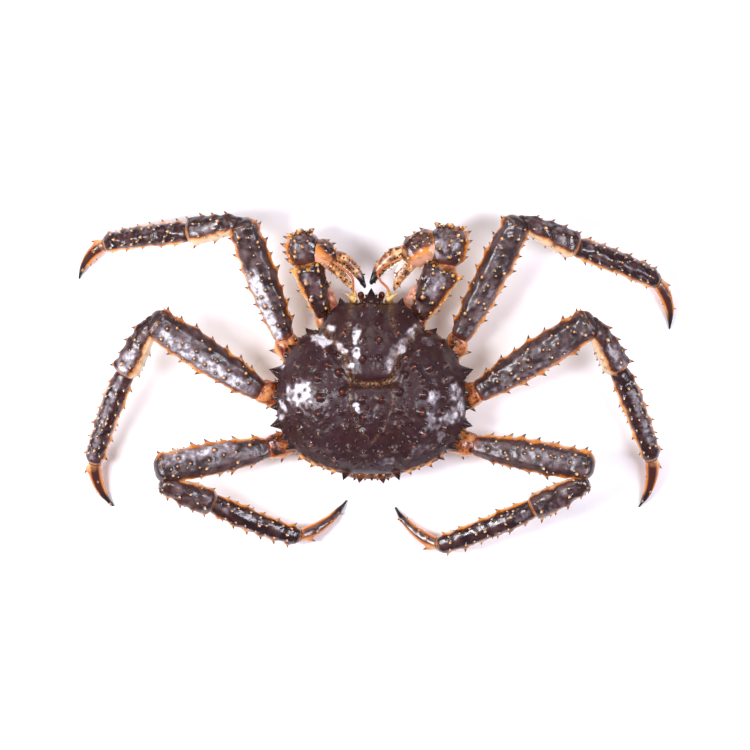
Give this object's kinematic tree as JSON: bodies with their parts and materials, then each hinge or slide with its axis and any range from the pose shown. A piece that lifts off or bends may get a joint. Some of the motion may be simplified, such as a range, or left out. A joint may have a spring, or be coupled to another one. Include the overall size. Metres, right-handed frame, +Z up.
{
  "type": "whole king crab",
  "caption": "Whole raw king crab lying belly down, legs spread and claws folded in front, with a spiny purple-brown shell.",
  "frame": {"origin": "on the floor, on the crab's median plane, at the middle of the flat of the folded abdomen it rests on", "axes": "+Z up through the back, +Y towards the rostrum, +X towards the crab's own right, across the legs' span"},
  "size_m": [0.5421, 0.3073, 0.0885],
  "materials": {
    "shell": "wet purple-brown chitin, mottled, with pale haze where the film of water catches light",
    "joint_shell": "wet orange to amber chitin at the leg bases and mouthparts",
    "belly_shell": "cream to pale orange chitin of the underside",
    "claw_shell": "wet purple-brown chitin that runs into tan and orange fingers with dark spots",
    "horn": "amber horn with black tips",
    "eye": "wet black-brown eye"
  },
  "bodies": {
    "root": {"carapace": "shell", "sternum": "belly_shell", "abdomen": "belly_shell", "abdomen_base": "shell", "eye_right": "eye", "antenna_right": "horn", "mouthpart_right": "joint_shell", "eye_left": "eye", "antenna_left": "horn", "mouthpart_left": "joint_shell", "leg_right_1_coxa": "joint_shell", "leg_right_1_merus": "shell", "leg_right_1_carpus": "shell", "leg_right_1_propodus": "shell", "leg_right_1_dactyl": "horn", "leg_right_2_coxa": "joint_shell", "leg_right_2_merus": "shell", "leg_right_2_carpus": "shell", "leg_right_2_propodus": "shell", "leg_right_2_dactyl": "horn", "leg_right_3_coxa": "joint_shell", "leg_right_3_merus": "shell", "leg_right_3_carpus": "shell", "leg_right_3_propodus": "shell", "leg_right_3_dactyl": "horn", "leg_left_1_coxa": "joint_shell", "leg_left_1_merus": "shell", "leg_left_1_carpus": "shell", "leg_left_1_propodus": "shell", "leg_left_1_dactyl": "horn", "leg_left_2_coxa": "joint_shell", "leg_left_2_merus": "shell", "leg_left_2_carpus": "shell", "leg_left_2_propodus": "shell", "leg_left_2_dactyl": "horn", "leg_left_3_coxa": "joint_shell", "leg_left_3_merus": "shell", "leg_left_3_carpus": "shell", "leg_left_3_propodus": "shell", "leg_left_3_dactyl": "horn", "claw_right_coxa": "joint_shell", "claw_right_merus": "claw_shell", "claw_right_carpus": "claw_shell", "claw_right_palm": "claw_shell", "claw_right_finger": "claw_shell", "claw_left_coxa": "joint_shell", "claw_left_merus": "claw_shell", "claw_left_carpus": "claw_shell", "claw_left_palm": "claw_shell", "claw_left_finger": "claw_shell"}
  },
  "joints": []
}
